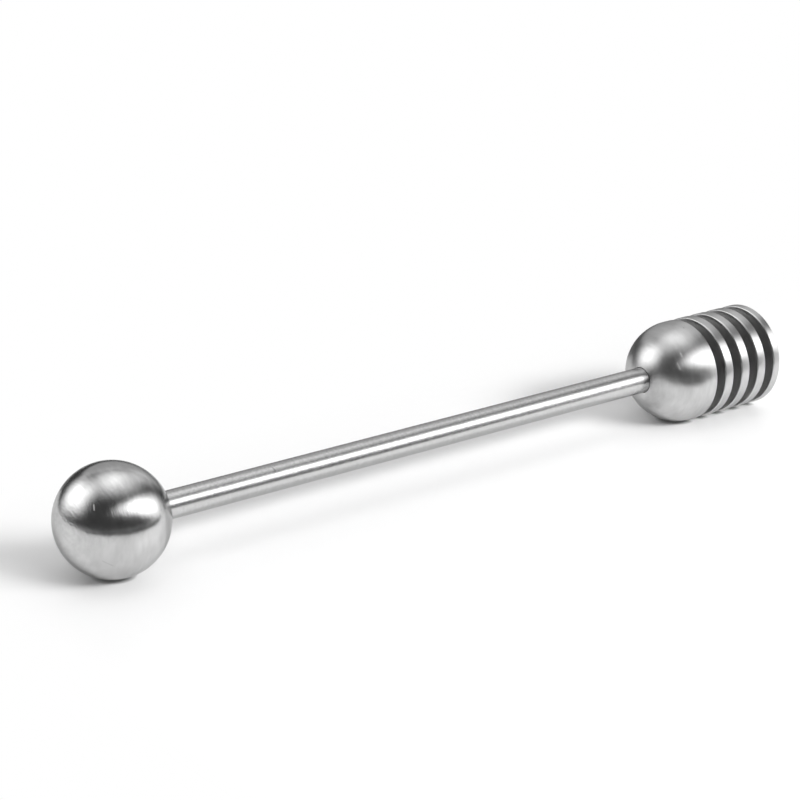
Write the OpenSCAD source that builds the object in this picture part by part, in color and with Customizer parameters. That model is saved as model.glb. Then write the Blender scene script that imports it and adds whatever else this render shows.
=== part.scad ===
// Honey dipper: a ball knob, a slim rod and a grooved head, all of stainless steel.
// It lies on a table as it is put down after use. X runs from the knob to the head,
// Z = 0 is the table, and X = 0 is the middle of the length.

/* [Overall] */
// Length from the outer side of the knob to the flat end of the head
overall_length = 160; // [130:1:220]

/* [Knob] */
// Diameter of the ball knob
knob_d = 20; // [14:0.5:28]
// Depth of the rod's socket, from the pole of the ball to the socket's floor
knob_socket_depth = 9; // [5:0.5:12]

/* [Rod] */
// Diameter of the rod
rod_d = 5; // [3:0.1:7]
// Chamfer on both ends of the rod
rod_chamfer = 0.4; // [0.1:0.1:0.8]

/* [Head] */
// Diameter of the dome, the fins and the end disc
head_d = 20; // [15:0.5:28]
// Straight collar between the dome and the first groove
collar_length = 1.5; // [0.8:0.1:5]
// Number of grooves that hold the honey
groove_count = 4; // [2:1:7]
// Width of each groove
groove_width = 2.3; // [1:0.1:3.5]
// Thickness of each fin between two grooves
fin_thickness = 2.2; // [1.2:0.1:4]
// Thickness of the disc that closes the head
end_disc_thickness = 1.7; // [1.2:0.1:5]
// Diameter of the core that carries the fins
core_d = 10; // [9:0.5:13]
// Radius of the rounded rim on each fin and on the collar
rim_radius = 0.25; // [0.1:0.05:0.5]
// Radius of the fillets at the foot of each groove
root_radius = 0.3; // [0.1:0.05:0.45]
// Radius of the outer edge of the flat end
end_edge_radius = 0.2; // [0.1:0.05:0.65]
// Depth of the rod's socket, from the pole of the dome to the socket's floor
head_socket_depth = 10; // [6:0.5:14]

/* [Fit] */
// Gap between the rod and the wall of its sockets, all round
socket_gap = 0.05; // [0.02:0.01:0.12]
// Chamfer at the mouth of each socket
mouth_chamfer = 0.25; // [0.1:0.05:0.6]

/* [Hidden] */
$fn = 96;

steel_bright = [0.78, 0.78, 0.79];
steel_satin = [0.70, 0.70, 0.71];

knob_r = knob_d / 2;
head_r = head_d / 2;
rod_r = rod_d / 2;
core_r = core_d / 2;
socket_r = rod_r + socket_gap;
mouth_r = socket_r + mouth_chamfer;

// One groove and one fin make a pitch, and the end disc takes the place of the last fin
pitch = groove_width + fin_thickness;
grooved_length = groove_count * pitch - fin_thickness + end_disc_thickness;
head_length = head_r + collar_length + grooved_length;

// Places along X
knob_center_x = knob_r - overall_length / 2;
knob_pole_x = knob_center_x + knob_r;
knob_floor_x = knob_pole_x - knob_socket_depth;
head_end_x = overall_length / 2;
head_pole_x = head_end_x - head_length;
head_floor_x = head_pole_x + head_socket_depth;
dome_center_x = head_pole_x + head_r;

// The axis is level, at the height where the thicker end touches the table
axis_z = max(knob_r, head_r);

// The chamfer of a mouth ends where the cylinder of its outer edge leaves the ball
function mouth_setback(ball_r) = ball_r - sqrt(ball_r * ball_r - mouth_r * mouth_r);

// Turns a profile round the long axis. In the profile X is the radius and Y runs along
// the axis, from the knob towards the head.
module turned(at_x) {
    translate([at_x, 0, axis_z])
        rotate([0, 90, 0])
            rotate_extrude()
                children();
}

// A straight bore with a chamfered mouth, cut into a ball. It opens in the direction of
// its own +Z, and the ball's pole is at its origin.
module socket(depth, ball_r) {
    setback = mouth_setback(ball_r);
    translate([0, 0, -depth])
        cylinder(h = depth + ball_r, r = socket_r);
    translate([0, 0, -setback - mouth_chamfer])
        cylinder(h = mouth_chamfer, r1 = socket_r, r2 = mouth_r);
    translate([0, 0, -setback])
        cylinder(h = setback + ball_r, r = mouth_r);
}

// Profile of a disc from one axial place to another, with its own radius on each rim
module disc_profile(from, to, near_rim_r, far_rim_r) {
    square_at(0, from, head_r - max(near_rim_r, far_rim_r), to);
    square_at(0, from + near_rim_r, head_r, to - far_rim_r);
    rim_profile(from + near_rim_r, near_rim_r);
    rim_profile(to - far_rim_r, far_rim_r);
}

// The round of one rim, with its centre at the given axial place
module rim_profile(center_y, rim_r) {
    translate([head_r - rim_r, center_y])
        circle(r = rim_r);
}

// A rectangle from one corner to the opposite one
module square_at(x0, y0, x1, y1) {
    translate([x0, y0])
        square([x1 - x0, y1 - y0]);
}

// A fillet between the core and the side of a fin. side is 1 where the groove lies
// towards the head's end, and -1 where it lies towards the dome.
module root_profile(wall_y, side) {
    difference() {
        square_at(
            core_r - root_radius,
            min(wall_y, wall_y + side * root_radius),
            core_r + root_radius,
            max(wall_y, wall_y + side * root_radius)
        );
        translate([core_r + root_radius, wall_y + side * root_radius])
            circle(r = root_radius);
    }
}

// The dome is a quarter of a circle, and the collar stands on it with no step between them
module dome_profile() {
    intersection() {
        circle(r = head_r);
        square_at(0, -head_r, head_r, 0);
    }
    square_at(0, 0, head_r - rim_radius, collar_length);
    square_at(0, 0, head_r, collar_length - rim_radius);
    rim_profile(collar_length - rim_radius, rim_radius);
}

module knob() {
    color(steel_bright)
        difference() {
            translate([knob_center_x, 0, axis_z])
                sphere(r = knob_r);
            translate([knob_pole_x, 0, axis_z])
                rotate([0, 90, 0])
                    socket(knob_socket_depth, knob_r);
        }
}

module rod() {
    rod_length = head_floor_x - knob_floor_x;
    color(steel_satin)
        turned(knob_floor_x)
            polygon([
                [0, 0],
                [rod_r - rod_chamfer, 0],
                [rod_r, rod_chamfer],
                [rod_r, rod_length - rod_chamfer],
                [rod_r - rod_chamfer, rod_length],
                [0, rod_length]
            ]);
}

module head() {
    groove_y = [for (i = [0 : groove_count - 1]) collar_length + i * pitch];
    end_y = collar_length + grooved_length;
    color(steel_bright)
        difference() {
            turned(dome_center_x)
                union() {
                    dome_profile();
                    square_at(0, 0, core_r, end_y);
                    for (y = groove_y) {
                        root_profile(y, 1);
                        root_profile(y + groove_width, -1);
                    }
                    for (i = [0 : groove_count - 2])
                        disc_profile(
                            groove_y[i] + groove_width,
                            groove_y[i + 1],
                            rim_radius,
                            rim_radius
                        );
                    disc_profile(
                        groove_y[groove_count - 1] + groove_width,
                        end_y,
                        rim_radius,
                        end_edge_radius
                    );
                }
            translate([head_pole_x, 0, axis_z])
                rotate([0, -90, 0])
                    socket(head_socket_depth, head_r);
        }
}

knob();
rod();
head();
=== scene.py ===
"""Steel honey dipper: a ball knob, a slim rod and a domed, grooved head, lying on a pale table."""

import math

import bmesh
import bpy
from mathutils import Euler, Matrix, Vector


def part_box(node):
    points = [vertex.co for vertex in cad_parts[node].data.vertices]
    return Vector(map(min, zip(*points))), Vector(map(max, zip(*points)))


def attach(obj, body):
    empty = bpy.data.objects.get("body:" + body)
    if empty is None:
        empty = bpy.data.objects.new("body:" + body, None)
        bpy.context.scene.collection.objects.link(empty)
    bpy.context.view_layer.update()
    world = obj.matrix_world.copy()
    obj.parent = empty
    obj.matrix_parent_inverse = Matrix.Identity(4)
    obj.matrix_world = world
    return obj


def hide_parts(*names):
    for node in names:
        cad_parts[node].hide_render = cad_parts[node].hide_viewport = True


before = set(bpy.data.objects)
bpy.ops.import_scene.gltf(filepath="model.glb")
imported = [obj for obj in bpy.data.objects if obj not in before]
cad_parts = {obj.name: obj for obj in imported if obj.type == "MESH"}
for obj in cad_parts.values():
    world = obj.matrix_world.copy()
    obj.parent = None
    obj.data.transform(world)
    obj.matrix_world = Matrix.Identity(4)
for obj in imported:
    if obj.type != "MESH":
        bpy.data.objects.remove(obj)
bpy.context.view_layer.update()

bl_info = {
    "name": "Steel honey dipper",
    "version": (1, 0, 0),
    "blender": (4, 5, 0),
    "location": "View3D > Sidebar > Dipper",
    "description": "Builds the knob, the rod and the grooved head of a steel honey dipper on a table",
    "category": "Object",
}

MM = 0.001
BODY = "root"

# Places and radii that the frame already holds
knob_low, knob_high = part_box("knob")
rod_low, rod_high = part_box("rod")
head_low, head_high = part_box("head")
AXIS_HEIGHT = (rod_low.z + rod_high.z) / 2
KNOB_RADIUS = (knob_high.z - knob_low.z) / 2
KNOB_CENTER = knob_low.x + KNOB_RADIUS
ROD_RADIUS = (rod_high.z - rod_low.z) / 2
HEAD_RADIUS = (head_high.z - head_low.z) / 2


# Settings that a user would change


class DipperSizes(bpy.types.PropertyGroup):
    """Sizes of the turned shapes"""

    groove_count: bpy.props.IntProperty(
        name="Grooves", description="Number of grooves that hold the honey", default=4, min=2, max=7
    )
    groove_width: bpy.props.FloatProperty(
        name="Groove width", description="Width of each groove", default=2.3 * MM, unit="LENGTH"
    )
    fin_thickness: bpy.props.FloatProperty(
        name="Fin thickness", description="Thickness of each fin", default=2.2 * MM, unit="LENGTH"
    )
    end_disc_thickness: bpy.props.FloatProperty(
        name="End disc", description="Thickness of the disc at the end", default=1.7 * MM, unit="LENGTH"
    )
    core_radius: bpy.props.FloatProperty(
        name="Core radius", description="Radius of the core between the fins", default=5.0 * MM, unit="LENGTH"
    )
    collar_length: bpy.props.FloatProperty(
        name="Collar", description="Straight length after the dome", default=1.5 * MM, unit="LENGTH"
    )
    rim_radius: bpy.props.FloatProperty(
        name="Rim radius", description="Round on the edges of the fins", default=0.25 * MM, unit="LENGTH"
    )
    root_radius: bpy.props.FloatProperty(
        name="Root radius", description="Fillet at the foot of a groove", default=0.3 * MM, unit="LENGTH"
    )
    end_edge_radius: bpy.props.FloatProperty(
        name="End edge radius", description="Round at the flat end's edge", default=0.2 * MM, unit="LENGTH"
    )
    socket_gap: bpy.props.FloatProperty(
        name="Socket gap", description="Gap between the rod and its sockets", default=0.05 * MM, unit="LENGTH"
    )
    mouth_chamfer: bpy.props.FloatProperty(
        name="Mouth chamfer", description="Chamfer at a socket's mouth", default=0.05 * MM, unit="LENGTH"
    )
    rod_chamfer: bpy.props.FloatProperty(
        name="Rod chamfer", description="Chamfer on the ends of the rod", default=0.4 * MM, unit="LENGTH"
    )
    segments: bpy.props.IntProperty(
        name="Segments", description="Faces round each turned shape", default=224, min=32, max=512
    )


class DipperFinish(bpy.types.PropertyGroup):
    """Colour and polish of the steel"""

    steel: bpy.props.FloatVectorProperty(
        name="Steel",
        description="Colour of the polished steel",
        default=(0.56, 0.56, 0.56),
        size=3,
        subtype="COLOR",
    )
    knob_roughness: bpy.props.FloatProperty(
        name="Knob roughness",
        description="Roughness of the knob",
        default=0.19,
        min=0,
        max=1,
        subtype="FACTOR",
    )
    rod_roughness: bpy.props.FloatProperty(
        name="Rod roughness",
        description="Roughness of the rod",
        default=0.22,
        min=0,
        max=1,
        subtype="FACTOR",
    )
    head_roughness: bpy.props.FloatProperty(
        name="Head roughness",
        description="Roughness of the head",
        default=0.29,
        min=0,
        max=1,
        subtype="FACTOR",
    )


class DipperStage(bpy.types.PropertyGroup):
    """Table and camera"""

    table: bpy.props.FloatVectorProperty(
        name="Table", description="Colour of the table", default=(0.93, 0.93, 0.93), size=3, subtype="COLOR"
    )
    focal_length: bpy.props.FloatProperty(
        name="Focal length", description="Focal length of the camera", default=109.07, unit="CAMERA"
    )


# Small helpers for node trees


def add_node(tree, kind, values=None, **settings):
    """Adds a node, sets its settings and the default values of its inputs."""
    made = tree.nodes.new(kind)
    for name, value in settings.items():
        setattr(made, name, value)
    for name, value in (values or {}).items():
        made.inputs[name].default_value = value
    return made


def join(tree, source, target):
    tree.links.new(source, target)


def feed(tree, value, target):
    """Gives an input either a plain number or another node's output."""
    if isinstance(value, (int, float)):
        target.default_value = value
    else:
        join(tree, value, target)


def math_node(tree, operation, *values):
    """A Math node whose inputs are sockets or plain numbers; gives its output socket."""
    made = tree.nodes.new("ShaderNodeMath")
    made.operation = operation
    for target, value in zip(made.inputs, values):
        feed(tree, value, target)
    return made.outputs[0]


def ramp_node(tree, value, low, high, to_low=0.0, to_high=1.0, smooth=True):
    """A Map Range node, clamped, that takes one range of a value to another."""
    made = tree.nodes.new("ShaderNodeMapRange")
    made.interpolation_type = "SMOOTHSTEP" if smooth else "LINEAR"
    join(tree, value, made.inputs["Value"])
    for name, number in (("From Min", low), ("From Max", high), ("To Min", to_low), ("To Max", to_high)):
        made.inputs[name].default_value = number
    return made.outputs["Result"]


def blend(tree, share, first, second):
    """A plain mix of two sockets or numbers."""
    mix = add_node(tree, "ShaderNodeMix", data_type="FLOAT")
    for name, value in (("Factor", share), ("A", first), ("B", second)):
        feed(tree, value, mix.inputs[name])
    return mix.outputs["Result"]


def vector_node(tree, *parts):
    """A vector of up to three sockets or numbers; what is left out is 0."""
    made = tree.nodes.new("ShaderNodeCombineXYZ")
    for target, value in zip(made.inputs, parts):
        feed(tree, value, target)
    return made.outputs[0]


def dot_node(tree, vector, axis):
    """How far a vector reaches along a fixed axis."""
    dot = add_node(tree, "ShaderNodeVectorMath", operation="DOT_PRODUCT")
    join(tree, vector, dot.inputs[0])
    dot.inputs[1].default_value = axis
    return dot.outputs["Value"]


# Profiles. A profile is a list of (place along the axis, radius, corner radius).

KNOB_STEPS = 120
DOME_STEPS = 60
ROD_STEPS = 60
END_STEPS = 12
# How far out the points on the flat end reach, as a share of its radius
END_REACH = 0.9


def arc(center, radius, start, end, steps):
    """Points of an arc about a point on the axis; the angle is measured from the way to the head."""
    turn = (end - start) / steps
    return [
        (center + radius * math.cos(start + i * turn), radius * math.sin(start + i * turn), 0.0)
        for i in range(steps + 1)
    ]


def socket_profile(center, ball_radius, floor, side, sizes):
    """Floor, wall and chamfered mouth of a socket in a ball; side is 1 where it opens to the head."""
    wall = ROD_RADIUS + sizes.socket_gap
    mouth = wall + sizes.mouth_chamfer
    mouth_place = center + side * math.sqrt(ball_radius**2 - mouth**2)
    points = [
        (floor, 0.0, 0.0),
        (floor, wall, 0.0),
        (mouth_place - side * sizes.mouth_chamfer, wall, 0.0),
    ]
    return points, mouth


def knob_profile(sizes):
    points, mouth = socket_profile(KNOB_CENTER, KNOB_RADIUS, rod_low.x, 1, sizes)
    start = math.asin(mouth / KNOB_RADIUS)
    return points + arc(KNOB_CENTER, KNOB_RADIUS, start, math.pi, KNOB_STEPS)


def rod_profile(sizes):
    shoulder = ROD_RADIUS - sizes.rod_chamfer
    near, far = rod_low.x, rod_high.x
    shank = far - near - 2 * sizes.rod_chamfer
    points = [(near, 0.0, 0.0), (near, shoulder, 0.0), (near + sizes.rod_chamfer, ROD_RADIUS, 0.0)]
    for i in range(1, ROD_STEPS):
        points.append((near + sizes.rod_chamfer + shank * i / ROD_STEPS, ROD_RADIUS, 0.0))
    points += [(far - sizes.rod_chamfer, ROD_RADIUS, 0.0), (far, shoulder, 0.0), (far, 0.0, 0.0)]
    return points


def head_places(sizes):
    """Places along the axis: centre of the dome, first groove, and last groove's far side."""
    pitch = sizes.groove_width + sizes.fin_thickness
    grooved = sizes.groove_count * pitch - sizes.fin_thickness
    last_side = head_high.x - sizes.end_disc_thickness
    first_groove = last_side - grooved
    return first_groove - sizes.collar_length, first_groove, last_side


def dome_profile(sizes):
    """Socket, dome and collar, up to the rim of the first groove."""
    center, first_groove, _ = head_places(sizes)
    points, mouth = socket_profile(center, HEAD_RADIUS, rod_high.x, -1, sizes)
    start = math.pi - math.asin(mouth / HEAD_RADIUS)
    points += arc(center, HEAD_RADIUS, start, math.pi / 2, DOME_STEPS)
    points.append((first_groove, HEAD_RADIUS, sizes.rim_radius))
    return points


def end_profile(sizes):
    """The end disc, from the last groove's far rim to the middle of the flat end."""
    _, _, last_side = head_places(sizes)
    points = [(last_side, HEAD_RADIUS, sizes.rim_radius), (head_high.x, HEAD_RADIUS, sizes.end_edge_radius)]
    for i in range(1, END_STEPS + 1):
        points.append((head_high.x, HEAD_RADIUS * END_REACH * (1 - i / END_STEPS), 0.0))
    return points


def profile_mesh(name, *profiles):
    """A mesh of edges that follow the profiles, with the corner radius as an attribute."""
    mesh = bpy.data.meshes.new(name)
    points, edges = [], []
    for profile in profiles:
        first = len(points)
        points += profile
        edges += [(i, i + 1) for i in range(first, len(points) - 1)]
    mesh.from_pydata([(place, radius, 0.0) for place, radius, _ in points], edges, [])
    corner = mesh.attributes.new("corner", "FLOAT", "POINT")
    corner.data.foreach_set("value", [point[2] for point in points])
    return mesh


# Geometry node trees

# Points closer than this become one, and a radius that divides is never less
TINY_LENGTH = 0.001 * MM
CORNER_STEPS = 7
SHARP_ANGLE = math.radians(30)


def new_tree(name, inputs):
    """A geometry node tree with a geometry input and output and the named inputs."""
    tree = bpy.data.node_groups.new(name, "GeometryNodeTree")
    tree.is_modifier = True
    face = tree.interface
    face.new_socket("Geometry", in_out="INPUT", socket_type="NodeSocketGeometry")
    for label, kind in inputs.items():
        face.new_socket(label, in_out="INPUT", socket_type=kind)
    face.new_socket("Geometry", in_out="OUTPUT", socket_type="NodeSocketGeometry")
    return tree, tree.nodes.new("NodeGroupInput").outputs, tree.nodes.new("NodeGroupOutput").inputs


def merged(tree, geometry):
    """The geometry with its doubled points made one."""
    made = add_node(tree, "GeometryNodeMergeByDistance", {"Distance": TINY_LENGTH})
    join(tree, geometry, made.inputs["Geometry"])
    return made.outputs[0]


def grooves_tree():
    """Adds the repeated grooves to a profile: four corners for each groove, placed by a rule."""
    tree, value, result = new_tree(
        "Ring grooves",
        {
            "Count": "NodeSocketInt",
            "First groove": "NodeSocketFloat",
            "Groove width": "NodeSocketFloat",
            "Fin thickness": "NodeSocketFloat",
            "Outer radius": "NodeSocketFloat",
            "Core radius": "NodeSocketFloat",
            "Rim radius": "NodeSocketFloat",
            "Root radius": "NodeSocketFloat",
        },
    )
    # The corners of a groove, in order, are its near rim, near foot, far foot and far rim
    corners = 4
    middle = 1.5
    foot_reach = 0.75
    line = add_node(tree, "GeometryNodeMeshLine")
    join(tree, math_node(tree, "MULTIPLY", value["Count"], corners), line.inputs["Count"])
    index = add_node(tree, "GeometryNodeInputIndex").outputs[0]
    groove = math_node(tree, "FLOOR", math_node(tree, "DIVIDE", index, corners))
    corner = math_node(tree, "MODULO", index, corners)
    far_side = math_node(tree, "GREATER_THAN", corner, middle)
    at_core = math_node(tree, "COMPARE", corner, middle, foot_reach)

    pitch = math_node(tree, "ADD", value["Groove width"], value["Fin thickness"])
    start = math_node(tree, "MULTIPLY_ADD", groove, pitch, value["First groove"])
    place = math_node(tree, "MULTIPLY_ADD", far_side, value["Groove width"], start)
    depth = math_node(tree, "SUBTRACT", value["Core radius"], value["Outer radius"])
    radius = math_node(tree, "MULTIPLY_ADD", at_core, depth, value["Outer radius"])
    softer = math_node(tree, "SUBTRACT", value["Root radius"], value["Rim radius"])
    fillet = math_node(tree, "MULTIPLY_ADD", at_core, softer, value["Rim radius"])

    placed = add_node(tree, "GeometryNodeSetPosition")
    join(tree, line.outputs["Mesh"], placed.inputs["Geometry"])
    join(tree, vector_node(tree, place, radius), placed.inputs["Position"])
    stored = add_node(
        tree, "GeometryNodeStoreNamedAttribute", {"Name": "corner"}, data_type="FLOAT", domain="POINT"
    )
    join(tree, placed.outputs[0], stored.inputs["Geometry"])
    join(tree, fillet, stored.inputs["Value"])
    both = add_node(tree, "GeometryNodeJoinGeometry")
    join(tree, stored.outputs[0], both.inputs[0])
    join(tree, value["Geometry"], both.inputs[0])
    join(tree, merged(tree, both.outputs[0]), result[0])
    return tree


def turning_tree():
    """Rounds the corners of a profile and turns it round the long axis into a closed mesh."""
    tree, value, result = new_tree(
        "Turned piece",
        {
            "Axis height": "NodeSocketFloat",
            "Segments": "NodeSocketInt",
            "Corner steps": "NodeSocketInt",
            "Sharp angle": "NodeSocketFloat",
            "Material": "NodeSocketMaterial",
        },
    )
    curve = add_node(tree, "GeometryNodeMeshToCurve")
    join(tree, value["Geometry"], curve.inputs["Mesh"])
    corner = add_node(tree, "GeometryNodeInputNamedAttribute", {"Name": "corner"}, data_type="FLOAT")
    fillet = add_node(tree, "GeometryNodeFilletCurve", {"Limit Radius": True}, mode="POLY")
    join(tree, curve.outputs[0], fillet.inputs["Curve"])
    join(tree, corner.outputs["Attribute"], fillet.inputs["Radius"])
    join(tree, value["Corner steps"], fillet.inputs["Count"])

    # A flat sheet, with the profile's points one way and the segments the other way. It is one
    # unit wide and centred, so half a unit makes its coordinates shares from 0 to 1.
    amount = add_node(tree, "GeometryNodeAttributeDomainSize", component="CURVE")
    join(tree, fillet.outputs[0], amount.inputs[0])
    points = amount.outputs["Point Count"]
    sheet = add_node(tree, "GeometryNodeMeshGrid", {"Size X": 1.0, "Size Y": 1.0})
    join(tree, points, sheet.inputs["Vertices X"])
    join(tree, math_node(tree, "ADD", value["Segments"], 1), sheet.inputs["Vertices Y"])
    flat = add_node(tree, "ShaderNodeSeparateXYZ")
    join(tree, add_node(tree, "GeometryNodeInputPosition").outputs[0], flat.inputs[0])
    along_share = math_node(tree, "ADD", flat.outputs["X"], 0.5)
    round_share = math_node(tree, "ADD", flat.outputs["Y"], 0.5)
    last = math_node(tree, "SUBTRACT", points, 1.0)
    number = math_node(tree, "ROUND", math_node(tree, "MULTIPLY", along_share, last))

    def sampled(kind, source):
        made = add_node(tree, "GeometryNodeSampleIndex", data_type=kind, domain="POINT", clamp=True)
        join(tree, fillet.outputs[0], made.inputs["Geometry"])
        join(tree, source, made.inputs["Value"])
        join(tree, number, made.inputs["Index"])
        return made.outputs["Value"]

    # Each point of the sheet goes to its place on the turned surface
    outline = add_node(tree, "ShaderNodeSeparateXYZ")
    profile_point = add_node(tree, "GeometryNodeInputPosition").outputs[0]
    join(tree, sampled("FLOAT_VECTOR", profile_point), outline.inputs[0])
    travelled = sampled("FLOAT", add_node(tree, "GeometryNodeSplineParameter").outputs["Length"])
    radius = outline.outputs["Y"]
    angle = math_node(tree, "MULTIPLY", round_share, 2 * math.pi)
    sideways = math_node(tree, "MULTIPLY", radius, math_node(tree, "COSINE", angle))
    upwards = math_node(tree, "MULTIPLY_ADD", radius, math_node(tree, "SINE", angle), value["Axis height"])
    mapped = add_node(
        tree, "GeometryNodeStoreNamedAttribute", {"Name": "UVMap"}, data_type="FLOAT2", domain="CORNER"
    )
    join(tree, sheet.outputs["Mesh"], mapped.inputs["Geometry"])
    join(tree, vector_node(tree, round_share, travelled), mapped.inputs["Value"])
    turned = add_node(tree, "GeometryNodeSetPosition")
    join(tree, mapped.outputs[0], turned.inputs["Geometry"])
    join(tree, vector_node(tree, outline.outputs["X"], sideways, upwards), turned.inputs["Position"])

    # Smooth shading, with an edge wherever the surface turns sharply
    smooth = add_node(tree, "GeometryNodeSetShadeSmooth")
    join(tree, merged(tree, turned.outputs[0]), smooth.inputs["Geometry"])
    bend = add_node(tree, "GeometryNodeInputMeshEdgeAngle").outputs["Unsigned Angle"]
    sharp = add_node(tree, "GeometryNodeSetShadeSmooth", {"Shade Smooth": False}, domain="EDGE")
    join(tree, smooth.outputs[0], sharp.inputs["Geometry"])
    join(tree, math_node(tree, "GREATER_THAN", bend, value["Sharp angle"]), sharp.inputs["Selection"])
    whole = add_node(tree, "GeometryNodeRealizeInstances")
    join(tree, sharp.outputs[0], whole.inputs[0])
    finished = add_node(tree, "GeometryNodeSetMaterial")
    join(tree, whole.outputs[0], finished.inputs["Geometry"])
    join(tree, value["Material"], finished.inputs["Material"])
    join(tree, finished.outputs[0], result[0])
    return tree


def add_tree(piece, name, maker, values):
    """Puts a shared tree on a piece as a modifier and sets its named inputs by their identifiers."""
    tree = bpy.data.node_groups.get(name) or maker()
    modifier = piece.modifiers.new(name, "NODES")
    modifier.node_group = tree
    for item in tree.interface.items_tree:
        if item.item_type == "SOCKET" and item.in_out == "INPUT" and item.name in values:
            modifier[item.identifier] = values[item.name]


def turn_piece(name, mesh, material, node, grooves=None):
    """Turns a profile mesh into a finished piece that stands for a CAD node."""
    sizes = bpy.context.scene.dipper_sizes
    piece = bpy.data.objects.new(name, mesh)
    bpy.context.collection.objects.link(piece)
    if grooves:
        add_tree(piece, "Ring grooves", grooves_tree, grooves)
    turning = {
        "Axis height": AXIS_HEIGHT,
        "Segments": sizes.segments,
        "Corner steps": CORNER_STEPS,
        "Sharp angle": SHARP_ANGLE,
        "Material": material,
    }
    add_tree(piece, "Turned piece", turning_tree, turning)
    weighted = piece.modifiers.new("Even shading", "WEIGHTED_NORMAL")
    weighted.keep_sharp = True
    bpy.context.view_layer.update()
    depsgraph = bpy.context.evaluated_depsgraph_get()
    seen = piece.evaluated_get(depsgraph)
    finished = bpy.data.meshes.new_from_object(seen, preserve_all_data_layers=True, depsgraph=depsgraph)
    finished.name = name
    finished.materials.clear()
    finished.materials.append(material)
    finished.polygons.foreach_set("material_index", [0] * len(finished.polygons))
    piece.modifiers.clear()
    piece.data = finished
    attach(piece, BODY)
    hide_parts(node)


# Materials


def turned_coordinates(tree):
    """Sockets of the way round (its cosine and sine), the way along the profile, X and the radius."""
    place = add_node(tree, "ShaderNodeSeparateXYZ")
    join(tree, add_node(tree, "ShaderNodeTexCoord").outputs["Object"], place.inputs[0])
    height = math_node(tree, "SUBTRACT", place.outputs["Z"], AXIS_HEIGHT)
    width = place.outputs["Y"]
    squares = math_node(tree, "MULTIPLY_ADD", width, width, math_node(tree, "MULTIPLY", height, height))
    radius = math_node(tree, "MAXIMUM", math_node(tree, "SQRT", squares), TINY_LENGTH)
    skin = add_node(tree, "ShaderNodeSeparateXYZ")
    join(tree, add_node(tree, "ShaderNodeUVMap", uv_map="UVMap").outputs[0], skin.inputs[0])
    return (
        math_node(tree, "DIVIDE", width, radius),
        math_node(tree, "DIVIDE", height, radius),
        skin.outputs["Y"],
        place.outputs["X"],
        radius,
    )


def ring_noise(tree, coordinates, round_size, along_size, detail=2.0):
    """Noise drawn out into rings; the sizes of its streaks are in radians round and metres along."""
    sizes = (round_size, round_size, along_size)
    scaled = [math_node(tree, "DIVIDE", value, size) for value, size in zip(coordinates, sizes)]
    noise = add_node(tree, "ShaderNodeTexNoise", {"Scale": 1.0, "Detail": detail, "Roughness": 0.6})
    join(tree, vector_node(tree, *scaled), noise.inputs["Vector"])
    return noise.outputs[0]


def cloud_noise(tree, size):
    """Plain noise in the object's own space, with blotches of about the given size."""
    noise = add_node(tree, "ShaderNodeTexNoise", {"Scale": 1.0 / size, "Detail": 1.0, "Roughness": 0.55})
    join(tree, add_node(tree, "ShaderNodeTexCoord").outputs["Object"], noise.inputs["Vector"])
    return noise.outputs[0]


def spread_about(tree, noise, middle, spread):
    """Takes the usual range of a noise to the range from middle - spread to middle + spread."""
    usual_low, usual_high = 0.3, 0.7
    return ramp_node(tree, noise, usual_low, usual_high, middle - spread, middle + spread, smooth=False)


# A scratch is full up to this share of its width from its middle line, and ends at half of it
SCRATCH_CORE = 0.15


def scratch_node(tree, start, end, width):
    """1 on a short scratch between two places on the surface and 0 away from it."""
    start, end = Vector(start) * MM, Vector(end) * MM
    line = end - start
    offset = add_node(tree, "ShaderNodeVectorMath", operation="SUBTRACT")
    join(tree, add_node(tree, "ShaderNodeTexCoord").outputs["Object"], offset.inputs[0])
    offset.inputs[1].default_value = start
    share = add_node(tree, "ShaderNodeClamp")
    join(tree, dot_node(tree, offset.outputs[0], line / line.length_squared), share.inputs["Value"])
    nearest = add_node(tree, "ShaderNodeVectorMath", operation="SCALE")
    nearest.inputs[0].default_value = line
    join(tree, share.outputs[0], nearest.inputs["Scale"])
    gap = add_node(tree, "ShaderNodeVectorMath", operation="DISTANCE")
    join(tree, offset.outputs[0], gap.inputs[0])
    join(tree, nearest.outputs[0], gap.inputs[1])
    core, edge = width * SCRATCH_CORE * MM, width * 0.5 * MM
    return ramp_node(tree, gap.outputs["Value"], core, edge, 1.0, 0.0)


# How much of a mirror's full strength is left where steel is seen at a glancing angle
EDGE_TINT = (0.7, 0.7, 0.7)
POLISH_SPREAD = 0.012
# A light scratch scatters the light of the room, and a dark one swallows it
LIGHT_SCRATCH_TONE = 1.25
LIGHT_SCRATCH_ROUGHNESS = 0.62
DARK_SCRATCH_TONE = 0.62

TURNED_FINISH = {
    "streak_round": 0.35,
    "streak_size": 0.9 * MM,
    "streak_height": 0.013 * MM,
    "mark_round": 0.22,
    "mark_size": 0.4 * MM,
    "mark_height": 0.022 * MM,
    "wave_size": 6.0 * MM,
    "wave_height": 0.06 * MM,
    "grain_size": 0.35 * MM,
    "grain_height": 0.003 * MM,
    "cloud_size": 3.5 * MM,
    "tone_spread": 0.065,
    "anisotropy": 0.0,
    # Painted shade: the colour inside the grooves is darkened to this share of the steel
    "groove_painted_shade": 0.8,
    "groove_roughness": 0.42,
    "groove_anisotropy": 0.8,
    "groove_turn": 0.25,
}
GROUND_FINISH = {
    **TURNED_FINISH,
    "streak_round": 0.8,
    "streak_size": 0.5 * MM,
    "streak_height": 0.006 * MM,
    "mark_round": 0.5,
    "mark_size": 0.16 * MM,
    "mark_height": 0.008 * MM,
    "wave_size": 5.0 * MM,
    "wave_height": 0.01 * MM,
    "grain_size": 0.28 * MM,
    "grain_height": 0.020 * MM,
    "cloud_size": 0.5 * MM,
    "tone_spread": 0.05,
    "anisotropy": 0.5,
}

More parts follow.
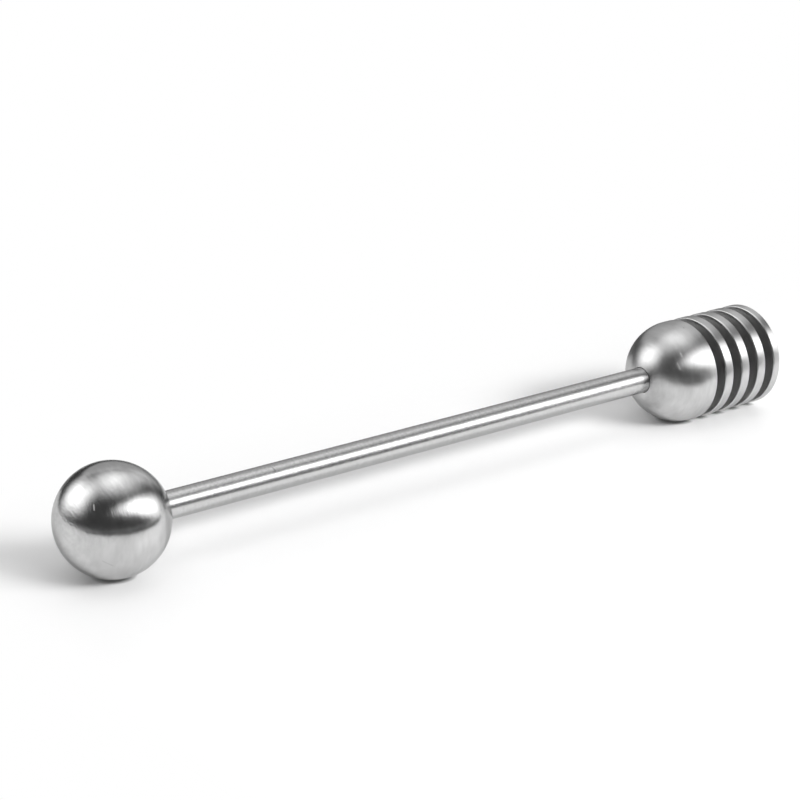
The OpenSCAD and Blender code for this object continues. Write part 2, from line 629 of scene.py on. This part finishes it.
# Scratches in millimetres: start, end, width, and whether it is a light one
KNOB_SCRATCHES = (
    ((-76.44, -5.12, 15.69), (-76.66, -5.54, 15.00), 0.33, True),
    ((-76.30, -6.91, 6.46), (-74.82, -7.51, 5.48), 0.16, False),
)
ROD_SCRATCHES = (((-37.93, -1.02, 12.28), (-37.81, -1.72, 11.81), 0.30, False),)
HEAD_SCRATCHES = (
    ((55.89, -6.05, 16.11), (55.84, -6.54, 15.53), 0.32, True),
    ((54.73, -6.43, 14.40), (54.88, -7.21, 13.24), 0.36, True),
    ((60.05, -2.50, 19.64), (60.07, -2.62, 19.60), 0.35, False),
)

# Depths under the rim between which the polish goes over into the groove's own finish and its painted shade
GROOVE_STARTS = 0.3 * MM
GROOVE_IS_FULL = 0.9 * MM
GROOVE_MARGIN = 0.01 * MM


def groove_mask(tree, coordinates):
    """1 inside the grooves, 0 on the polished outside of the head."""
    x_place, radius = coordinates[3], coordinates[4]
    _, first_groove, last_side = head_places(bpy.context.scene.dipper_sizes)
    deep = ramp_node(tree, radius, HEAD_RADIUS - GROOVE_IS_FULL, HEAD_RADIUS - GROOVE_STARTS, 1.0, 0.0)
    after = math_node(tree, "GREATER_THAN", x_place, first_groove - GROOVE_MARGIN)
    before = math_node(tree, "LESS_THAN", x_place, last_side + GROOVE_MARGIN)
    return math_node(tree, "MULTIPLY", deep, math_node(tree, "MULTIPLY", after, before))


def bumped_normal(tree, heights):
    """The surface's normal after a row of bumps, each a height socket and the height in metres."""
    normal = None
    for height, distance in heights:
        bump = add_node(tree, "ShaderNodeBump", {"Strength": 1.0, "Distance": distance})
        join(tree, height, bump.inputs["Height"])
        if normal is not None:
            join(tree, normal, bump.inputs["Normal"])
        normal = bump.outputs[0]
    return normal


def steel_material(name, colour, roughness, finish, scratches, grooved=False):
    """Satin stainless steel with turning marks, cloudy polish and a few scratches; on a grooved piece,
    painted shade darkens the grooves.
    """
    material = bpy.data.materials.new(name)
    material.use_nodes = True
    tree = material.node_tree
    tree.nodes.clear()
    shader = add_node(tree, "ShaderNodeBsdfPrincipled", {"Metallic": 1.0, "Specular Tint": (*EDGE_TINT, 1.0)})
    output = add_node(tree, "ShaderNodeOutputMaterial")
    join(tree, shader.outputs[0], output.inputs["Surface"])
    coordinates = turned_coordinates(tree)
    broad = ring_noise(tree, coordinates, finish["streak_round"], finish["streak_size"], 3.0)
    fine = ring_noise(tree, coordinates, finish["mark_round"], finish["mark_size"])

    # Tone: cloudy polish and streaks, from a little darker to a little lighter than the steel
    cloudy = spread_about(tree, cloud_noise(tree, finish["cloud_size"]), 1.0, finish["tone_spread"])
    streaky = spread_about(tree, broad, 1.0, finish["tone_spread"])
    tone = math_node(tree, "MULTIPLY", cloudy, streaky)
    polish = spread_about(tree, broad, roughness, POLISH_SPREAD)
    for start, end, width, light in scratches:
        mask = scratch_node(tree, start, end, width)
        tone = blend(tree, mask, tone, LIGHT_SCRATCH_TONE if light else DARK_SCRATCH_TONE)
        polish = blend(tree, mask, polish, LIGHT_SCRATCH_ROUGHNESS if light else roughness)
    if grooved:
        mask = groove_mask(tree, coordinates)
        # Painted shade: the colour inside the grooves is darkened for the shade deep in them; the roughness
        # and drawn-out polish are their own finish
        tone = blend(tree, mask, tone, finish["groove_painted_shade"])
        polish = blend(tree, mask, polish, finish["groove_roughness"])
        drawn_out = math_node(tree, "MULTIPLY", mask, finish["groove_anisotropy"])
        join(tree, drawn_out, shader.inputs["Anisotropic"])
        shader.inputs["Anisotropic Rotation"].default_value = finish["groove_turn"]
    else:
        shader.inputs["Anisotropic"].default_value = finish["anisotropy"]
    tint = add_node(tree, "ShaderNodeVectorMath", operation="SCALE")
    tint.inputs[0].default_value = colour
    join(tree, tone, tint.inputs["Scale"])
    join(tree, tint.outputs[0], shader.inputs["Base Color"])
    join(tree, polish, shader.inputs["Roughness"])
    tangent = add_node(tree, "ShaderNodeTangent", direction_type="RADIAL", axis="X")
    join(tree, tangent.outputs[0], shader.inputs["Tangent"])

    heights = (
        (cloud_noise(tree, finish["wave_size"]), finish["wave_height"]),
        (broad, finish["streak_height"]),
        (fine, finish["mark_height"]),
        (cloud_noise(tree, finish["grain_size"]), finish["grain_height"]),
    )
    join(tree, bumped_normal(tree, heights), shader.inputs["Normal"])
    return material


# Pieces


class DIPPER_OT_knob(bpy.types.Operator):
    """Make the ball knob with its socket for the rod"""

    bl_idname = "dipper.knob"
    bl_label = "Make knob"

    def execute(self, context):
        finish = context.scene.dipper_finish
        profile = profile_mesh("knob_profile", knob_profile(context.scene.dipper_sizes))
        steel = steel_material(
            "knob_satin_steel", finish.steel, finish.knob_roughness, TURNED_FINISH, KNOB_SCRATCHES
        )
        turn_piece("ball_knob", profile, steel, "knob")
        return {"FINISHED"}


class DIPPER_OT_rod(bpy.types.Operator):
    """Make the straight rod"""

    bl_idname = "dipper.rod"
    bl_label = "Make rod"

    def execute(self, context):
        finish = context.scene.dipper_finish
        profile = profile_mesh("rod_profile", rod_profile(context.scene.dipper_sizes))
        steel = steel_material(
            "rod_ground_steel", finish.steel, finish.rod_roughness, GROUND_FINISH, ROD_SCRATCHES
        )
        turn_piece("straight_rod", profile, steel, "rod")
        return {"FINISHED"}


class DIPPER_OT_head(bpy.types.Operator):
    """Make the domed head with its ring grooves"""

    bl_idname = "dipper.head"
    bl_label = "Make head"

    def execute(self, context):
        sizes, finish = context.scene.dipper_sizes, context.scene.dipper_finish
        profile = profile_mesh("head_profile", dome_profile(sizes), end_profile(sizes))
        steel = steel_material(
            "head_satin_steel",
            finish.steel,
            finish.head_roughness,
            TURNED_FINISH,
            HEAD_SCRATCHES,
            grooved=True,
        )
        _, first_groove, _ = head_places(sizes)
        grooves = {
            "Count": sizes.groove_count,
            "First groove": first_groove,
            "Groove width": sizes.groove_width,
            "Fin thickness": sizes.fin_thickness,
            "Outer radius": HEAD_RADIUS,
            "Core radius": sizes.core_radius,
            "Rim radius": sizes.rim_radius,
            "Root radius": sizes.root_radius,
        }
        turn_piece("grooved_head", profile, steel, "head", grooves)
        return {"FINISHED"}


# Stage. Directions on the stage are an angle from the way to the camera, positive to the
# right of the picture, and a height above the table, both in degrees.

CAMERA_PLACE = Vector((-266.815, -323.177, 155.180)) * MM
CAMERA_TURN = 38.594
CAMERA_DIP = 18.313
SENSOR_WIDTH = 36.0
NEAREST_SEEN = 0.01
FARTHEST_SEEN = 20.0


def stage_direction(turn, rise):
    towards = math.radians(-90 - CAMERA_TURN + turn)
    flat = math.cos(math.radians(rise))
    return Vector((flat * math.cos(towards), flat * math.sin(towards), math.sin(math.radians(rise))))


def add_camera(stage):
    data = bpy.data.cameras.new("camera")
    data.lens = stage.focal_length
    data.sensor_width = SENSOR_WIDTH
    data.clip_start, data.clip_end = NEAREST_SEEN, FARTHEST_SEEN
    camera = bpy.data.objects.new("camera", data)
    bpy.context.collection.objects.link(camera)
    camera.location = CAMERA_PLACE
    camera.rotation_euler = Euler((math.radians(90 - CAMERA_DIP), 0.0, math.radians(-CAMERA_TURN)))
    bpy.context.scene.camera = camera


# The lamps light the table. Each is: turn, rise, distance, width, height and level
LAMPS = {
    "right_softbox": (62, 29, 0.9, 0.48, 0.15, 0.56),
    "front_softbox": (5, 21, 5.0, 1.1, 0.73, 0.06),
    "upper_softbox": (47, 65, 1.6, 2.8, 2.8, 0.52),
    "rear_softbox": (-163, 66, 1.6, 3.0, 3.0, 0.54),
}


def add_softbox(name, turn, rise, distance, width, height, level):
    """A flat lamp that faces the middle of the dipper. Its level is what it adds to a white table."""
    data = bpy.data.lights.new(name, "AREA")
    data.shape = "RECTANGLE"
    data.size, data.size_y = width, height
    data.energy = level * (math.pi * distance) ** 2 / math.sin(math.radians(rise))
    lamp = bpy.data.objects.new(name, data)
    bpy.context.collection.objects.link(lamp)
    way = stage_direction(turn, rise)
    lamp.location = way * distance
    lamp.rotation_euler = way.to_track_quat("Z", "Y").to_euler()
    lamp.visible_camera = False
    lamp.visible_glossy = False


def seen_rays(tree):
    """1 for rays that show things to the camera, directly or in a reflection, and 0 for others."""
    rays = add_node(tree, "ShaderNodeLightPath")
    shown = math_node(tree, "MAXIMUM", rays.outputs["Is Camera Ray"], rays.outputs["Is Glossy Ray"])
    return math_node(tree, "MAXIMUM", shown, rays.outputs["Is Transmission Ray"])


def mixed_surface(tree, share, first, second, target):
    """Joins a mix of two shaders to an output node."""
    mix = add_node(tree, "ShaderNodeMixShader")
    for source, place in zip((share, first, second), mix.inputs):
        join(tree, source, place)
    join(tree, mix.outputs[0], target)


def only_in_reflections(thing):
    thing.visible_camera = False
    thing.visible_diffuse = False
    thing.visible_shadow = False


TABLE_REACH = 6.0
TABLE_ROUGHNESS = 0.35
# Painted shade: ambient occlusion darkens the table's colour this close to the object
CONTACT_SHADE_REACH = 0.75 * MM
# Strength of the white that the camera and the steel see
PLAIN_WHITE = 1.0
# Where the fades into white start and end: behind the object, to the left of it, and all round.
# The fade behind the object starts with a trace of white.
BACKWARDS = (-0.06, 1.0, 0.0)
BACK_FADE = (17 * MM, 51 * MM)
BACK_WHITE = (0.04, 1.0)
LEFT_FADE = (-74 * MM, -100 * MM)
ROUND_FADE = (120 * MM, 320 * MM)


def far_from_object(tree):
    """0 on the table at the object and 1 away from it, where the table goes over into white."""
    place = add_node(tree, "ShaderNodeNewGeometry").outputs["Position"]
    split = add_node(tree, "ShaderNodeSeparateXYZ")
    join(tree, place, split.inputs[0])
    distance = add_node(tree, "ShaderNodeVectorMath", operation="LENGTH")
    join(tree, place, distance.inputs[0])
    behind = ramp_node(tree, dot_node(tree, place, BACKWARDS), *BACK_FADE, *BACK_WHITE)
    beside = ramp_node(tree, split.outputs["X"], *LEFT_FADE)
    around = ramp_node(tree, distance.outputs["Value"], *ROUND_FADE)
    return math_node(tree, "MAXIMUM", math_node(tree, "MAXIMUM", behind, beside), around)


def add_floor(stage):
    """The table, with painted shade in its colour where the object touches it. Away from the object it goes
    over into the white that the camera and the steel see.
    """
    mesh = bpy.data.meshes.new("floor")
    corners = [(-1, -1), (1, -1), (1, 1), (-1, 1)]
    mesh.from_pydata([(x * TABLE_REACH, y * TABLE_REACH, 0) for x, y in corners], [], [range(4)])
    floor = bpy.data.objects.new("floor", mesh)
    bpy.context.collection.objects.link(floor)
    material = bpy.data.materials.new("white_table")
    material.use_nodes = True
    tree = material.node_tree
    shader = tree.nodes["Principled BSDF"]
    shader.inputs["Roughness"].default_value = TABLE_ROUGHNESS
    # Painted shade: the table's colour goes darker by ambient occlusion where the object stands on it
    colour = {"Color": (*stage.table, 1.0), "Distance": CONTACT_SHADE_REACH}
    painted_contact_shade = add_node(tree, "ShaderNodeAmbientOcclusion", colour)
    join(tree, painted_contact_shade.outputs["Color"], shader.inputs["Base Color"])
    white = add_node(tree, "ShaderNodeEmission", {"Color": (1, 1, 1, 1), "Strength": PLAIN_WHITE})
    share = math_node(tree, "MULTIPLY", far_from_object(tree), seen_rays(tree))
    surface = tree.nodes["Material Output"].inputs["Surface"]
    mixed_surface(tree, share, shader.outputs[0], white.outputs[0], surface)
    mesh.materials.append(material)


# What the steel sees around it, each as: turn, rise, roll, half length and half width in degrees,
# growth of the width along the length, softness of the edge, squareness and strength
ROOM_GLOWS = {
    "left softbox": (-92.7, 32.2, 24.4, 22.2, 17.4, 0.0, 0.95, 2.8, 2.6),
    "right softbox": (75.7, 29.9, -23.7, 37.7, 11.8, 0.2, 0.95, 2.3, 3.5),
    "ceiling": (178.9, 82.0, -54.3, 22.9, 28.4, 0.0, 0.98, 2.0, 1.55),
    "rear wall": (185.2, 27.7, 28.4, 37.7, 18.5, 0.0, 0.15, 2.0, 0.48),
    "rear panel": (150.8, 37.2, -1.9, 11.0, 15.9, 0.0, 0.95, 3.7, 0.68),
}
ROOM_SHADE = 0.06
ROOM_RADIUS = 0.7
# The narrow end of a glow is at least this share of its width in the middle
NARROWEST = 0.1


def glow_node(tree, way, turn, rise, roll, half_length, half_width, growth, softness, squareness, strength):
    """A soft-edged patch of light in the studio room; gives a socket with its strength."""
    middle = stage_direction(turn, rise)
    level = stage_direction(turn + 90, 0)
    steep = middle.cross(level)
    lean = math.radians(roll)
    long_way = level * math.cos(lean) + steep * math.sin(lean)
    short_way = steep * math.cos(lean) - level * math.sin(lean)
    half_length, half_width = math.radians(half_length), math.radians(half_width)

    def share(angle, half):
        size = math_node(tree, "DIVIDE", math_node(tree, "ABSOLUTE", angle), half)
        return math_node(tree, "POWER", size, squareness)

    along = math_node(tree, "ARCTAN2", dot_node(tree, way, long_way), dot_node(tree, way, middle))
    across = math_node(tree, "ARCSINE", dot_node(tree, way, short_way))
    wider = math_node(tree, "MULTIPLY_ADD", along, half_width * growth / half_length, half_width)
    wider = math_node(tree, "MAXIMUM", wider, half_width * NARROWEST)
    total = math_node(tree, "ADD", share(along, half_length), share(across, wider))
    reach = math_node(tree, "POWER", total, 1.0 / squareness)
    return ramp_node(tree, reach, 1.0 - softness, 1.0 + softness, strength, 0.0)


def add_surround():
    """A studio room that only the steel sees: dark at the camera, with softboxes at both sides."""
    mesh = bpy.data.meshes.new("studio_surround")
    shell = bmesh.new()
    bmesh.ops.create_uvsphere(shell, u_segments=96, v_segments=48, radius=ROOM_RADIUS)
    bmesh.ops.reverse_faces(shell, faces=shell.faces)
    shell.to_mesh(mesh)
    shell.free()
    room = bpy.data.objects.new("studio_surround", mesh)
    bpy.context.collection.objects.link(room)
    material = bpy.data.materials.new("studio_room")
    material.use_nodes = True
    tree = material.node_tree
    tree.nodes.clear()
    output = add_node(tree, "ShaderNodeOutputMaterial")
    glow = add_node(tree, "ShaderNodeEmission")
    join(tree, glow.outputs[0], output.inputs["Surface"])
    way = add_node(tree, "ShaderNodeVectorMath", operation="NORMALIZE")
    join(tree, add_node(tree, "ShaderNodeTexCoord").outputs["Object"], way.inputs[0])
    total = ROOM_SHADE
    for patch in ROOM_GLOWS.values():
        total = math_node(tree, "ADD", glow_node(tree, way.outputs[0], *patch), total)
    join(tree, total, glow.inputs["Strength"])
    mesh.materials.append(material)
    only_in_reflections(room)


# The cards on the table put painted dark reflections into the steel. They darken what it mirrors of the table
# in front of and behind the object, and the pale grey rod card is a painted shadow of the rod on the table
# under it. Each has its outline in millimetres, the way round that turns its face up, and its shade of grey.
# The steel's lower side mirrors them.
CARD_HEIGHT = 0.2 * MM
CARDS = {
    "front_shade_card": (
        [
            (-400, -400),
            (155, -400),
            (155, -58),
            (100, -54),
            (75, -48),
            (50, -39),
            (0, -39),
            (-40, -64),
            (-96, -62),
            (-126, -52),
            (-157, -28),
            (-198, -8),
            (-294, 48),
            (-400, 110),
        ],
        0.05,
    ),
    # Painted shadow of the rod on the table, seen only in the steel's reflection
    "rod_shadow_card": ([(-58, -2), (-38, -9), (45, -9), (52, -2), (52, 4), (-58, 4)], 0.72),
    "knob_shade_card": ([(-55, 85), (15, 85), (15, 400), (-55, 400)], 0.25),
    "head_shade_card": ([(75, 65), (600, 65), (600, 600), (75, 600)], 0.25),
}


def add_card(name, outline, shade):
    """A card that only the steel sees, a painted dark reflection. Its underside is clear, so the table's
    sheen doesn't show it.
    """
    mesh = bpy.data.meshes.new(name)
    corners = [(x * MM, y * MM, CARD_HEIGHT) for x, y in outline]
    mesh.from_pydata(corners, [], [range(len(corners))])
    card = bpy.data.objects.new(name, mesh)
    bpy.context.collection.objects.link(card)
    material = bpy.data.materials.new(name)
    material.use_nodes = True
    tree = material.node_tree
    shader = tree.nodes["Principled BSDF"]
    shader.inputs["Base Color"].default_value = (shade, shade, shade, 1.0)
    shader.inputs["Roughness"].default_value = 1.0
    shader.inputs["Specular IOR Level"].default_value = 0.0
    underside = add_node(tree, "ShaderNodeNewGeometry").outputs["Backfacing"]
    clear = add_node(tree, "ShaderNodeBsdfTransparent")
    surface = tree.nodes["Material Output"].inputs["Surface"]
    mixed_surface(tree, underside, shader.outputs[0], clear.outputs[0], surface)
    mesh.materials.append(material)
    only_in_reflections(card)


WORLD_FILL = 0.05


def add_world():
    """White where it is seen, and a weak even light on everything."""
    world = bpy.data.worlds.new("studio")
    bpy.context.scene.world = world
    world.use_nodes = True
    tree = world.node_tree
    tree.nodes.clear()
    output = add_node(tree, "ShaderNodeOutputWorld")
    seen = add_node(tree, "ShaderNodeBackground", {"Color": (1, 1, 1, 1), "Strength": PLAIN_WHITE})
    fill = add_node(tree, "ShaderNodeBackground", {"Color": (1, 1, 1, 1), "Strength": WORLD_FILL})
    mixed_surface(tree, seen_rays(tree), fill.outputs[0], seen.outputs[0], output.inputs["Surface"])


class DIPPER_OT_stage(bpy.types.Operator):
    """Make the table, the light and the camera"""

    bl_idname = "dipper.stage"
    bl_label = "Make stage"

    def execute(self, context):
        stage = context.scene.dipper_stage
        context.scene.view_settings.view_transform = "Standard"
        add_camera(stage)
        add_floor(stage)
        add_world()
        add_surround()
        for name, (outline, shade) in CARDS.items():
            add_card(name, outline, shade)
        for name, values in LAMPS.items():
            add_softbox(name, *values)
        return {"FINISHED"}


class DIPPER_PT_panel(bpy.types.Panel):
    """Lists the operators and settings of the dipper"""

    bl_idname = "DIPPER_PT_panel"
    bl_label = "Honey dipper"
    bl_space_type = "VIEW_3D"
    bl_region_type = "UI"
    bl_category = "Dipper"

    def draw(self, context):
        for name in ("stage", "knob", "rod", "head"):
            self.layout.operator("dipper." + name)
        for group in (context.scene.dipper_sizes, context.scene.dipper_finish, context.scene.dipper_stage):
            box = self.layout.box()
            for name in group.bl_rna.properties.keys():
                if name not in ("rna_type", "name"):
                    box.prop(group, name)


CLASSES = (
    DipperSizes,
    DipperFinish,
    DipperStage,
    DIPPER_OT_knob,
    DIPPER_OT_rod,
    DIPPER_OT_head,
    DIPPER_OT_stage,
    DIPPER_PT_panel,
)


def register():
    for made in CLASSES:
        bpy.utils.register_class(made)
    bpy.types.Scene.dipper_sizes = bpy.props.PointerProperty(type=DipperSizes)
    bpy.types.Scene.dipper_finish = bpy.props.PointerProperty(type=DipperFinish)
    bpy.types.Scene.dipper_stage = bpy.props.PointerProperty(type=DipperStage)


def unregister():
    del bpy.types.Scene.dipper_stage
    del bpy.types.Scene.dipper_finish
    del bpy.types.Scene.dipper_sizes
    for made in reversed(CLASSES):
        bpy.utils.unregister_class(made)


def main():
    register()
    bpy.ops.dipper.stage()
    bpy.ops.dipper.knob()
    bpy.ops.dipper.rod()
    bpy.ops.dipper.head()
    bpy.context.view_layer.update()


if __name__ == "__main__":
    main()
